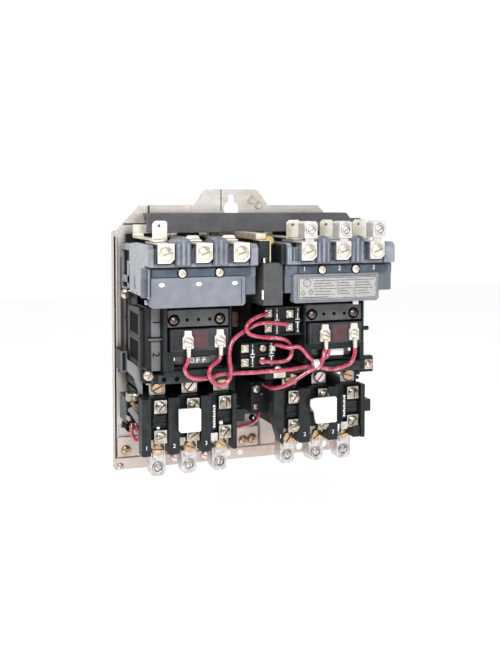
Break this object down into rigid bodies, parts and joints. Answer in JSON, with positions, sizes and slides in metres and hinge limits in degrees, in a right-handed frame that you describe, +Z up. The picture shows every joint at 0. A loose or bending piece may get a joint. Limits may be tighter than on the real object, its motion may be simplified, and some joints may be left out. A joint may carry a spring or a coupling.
{
  "type": "magnetic motor starter",
  "caption": "Open two-contactor magnetic motor starter on a pressed steel panel, with an overload relay under each contactor, mechanical interlock, box lugs and red control wires.",
  "frame": {"origin": "on the back face of the panel's centre channel, where it lies on the wall, at the panel's mid height below the keyhole", "axes": "+X to the right seen from the front, +Y into the wall, +Z up"},
  "size_m": [0.232, 0.1331, 0.257],
  "materials": {
    "zinc_steel": "zinc plate, warm satin",
    "fibre_board": "dull dark grey insulating board",
    "grey_moulding": "fine grained grey moulding",
    "brass": "bright drawn brass",
    "black_phenolic": "satin black phenolic moulding",
    "printed_plate": "satin aluminium label plate with plain ruled lines",
    "tinned_copper": "tin plated copper, soft shine",
    "arc_block_moulding": "blue grey moulding, slight gloss",
    "cover_moulding": "light blue grey moulding",
    "magnet_steel": "ground laminated steel",
    "coil_resin": "dark encapsulated coil",
    "white_moulding": "white moulding",
    "silver_copper": "copper bridge with silver faced tips",
    "lug_alloy": "tin plated aluminium, soft shine",
    "wire_jacket": "red control wire jacket"
  },
  "bodies": {
    "starter": {"arc_block_left": "arc_block_moulding", "arc_block_right": "arc_block_moulding", "arc_cover_left": "cover_moulding", "arc_cover_right": "cover_moulding", "auxiliary_block_lower": "black_phenolic", "auxiliary_block_upper": "black_phenolic", "bus_strap_1": "tinned_copper", "bus_strap_2": "tinned_copper", "bus_strap_3": "tinned_copper", "coil_left": "coil_resin", "coil_right": "coil_resin", "contactor_base_left": "black_phenolic", "contactor_base_right": "black_phenolic", "insulating_bar": "fibre_board", "interlock_housing": "grey_moulding", "interlock_post": "brass", "line_terminal_left_1": "tinned_copper", "line_terminal_left_2": "tinned_copper", "line_terminal_left_3": "tinned_copper", "line_terminal_right_1": "tinned_copper", "line_terminal_right_2": "tinned_copper", "line_terminal_right_3": "tinned_copper", "load_lug_left_1": "lug_alloy", "load_lug_left_2": "lug_alloy", "load_lug_left_3": "lug_alloy", "load_lug_right_1": "lug_alloy", "load_lug_right_2": "lug_alloy", "load_lug_right_3": "lug_alloy", "load_strap_left_1": "tinned_copper", "load_strap_left_2": "tinned_copper", "load_strap_left_3": "tinned_copper", "load_strap_right_1": "tinned_copper", "load_strap_right_2": "tinned_copper", "load_strap_right_3": "tinned_copper", "magnet_core_left": "magnet_steel", "magnet_core_right": "magnet_steel", "magnet_retainer_left": "grey_moulding", "magnet_retainer_right": "grey_moulding", "mounting_panel": "zinc_steel", "nameplate": "printed_plate", "overload_body_left": "black_phenolic", "overload_body_right": "black_phenolic", "wire_coil_to_coil": "wire_jacket", "wire_coil_to_upper_block": "wire_jacket", "wire_lower_block_to_coil": "wire_jacket", "wire_overload_to_coil": "wire_jacket", "wire_upper_to_lower_block": "wire_jacket"},
    "carrier_left": {"armature_left": "magnet_steel", "crossbar_left": "black_phenolic", "moving_contact_left_1": "silver_copper", "moving_contact_left_2": "silver_copper", "moving_contact_left_3": "silver_copper"},
    "carrier_right": {"armature_right": "magnet_steel", "crossbar_right": "black_phenolic", "moving_contact_right_1": "silver_copper", "moving_contact_right_2": "silver_copper", "moving_contact_right_3": "silver_copper"},
    "interlock_rocker_body": {"interlock_rocker": "brass"},
    "reset_left": {"reset_paddle_left": "white_moulding"},
    "reset_right": {"reset_paddle_right": "white_moulding"}
  },
  "joints": [
    {"name": "left_contactor_lift", "type": "slide", "parent": "starter", "child": "carrier_left", "axis": [0, 0, 1], "range_m": [0, 0.005], "stiffness_N_per_m": 300, "springref_m": -0.01},
    {"name": "right_contactor_lift", "type": "slide", "parent": "starter", "child": "carrier_right", "axis": [0, 0, 1], "range_m": [0, 0.005], "stiffness_N_per_m": 300, "springref_m": -0.01},
    {"name": "left_reset", "type": "slide", "parent": "starter", "child": "reset_left", "axis": [0, 1, 0], "range_m": [0, 0.0025], "stiffness_N_per_m": 800, "springref_m": -0.002},
    {"name": "right_reset", "type": "slide", "parent": "starter", "child": "reset_right", "axis": [0, 1, 0], "range_m": [0, 0.0025], "stiffness_N_per_m": 800, "springref_m": -0.002},
    {"name": "interlock_tilt", "type": "hinge", "parent": "starter", "child": "interlock_rocker_body", "pos_m": [0.0005, -0.0785, 0.066], "axis": [0, 1, 0], "range_deg": [-3, 3]}
  ]
}
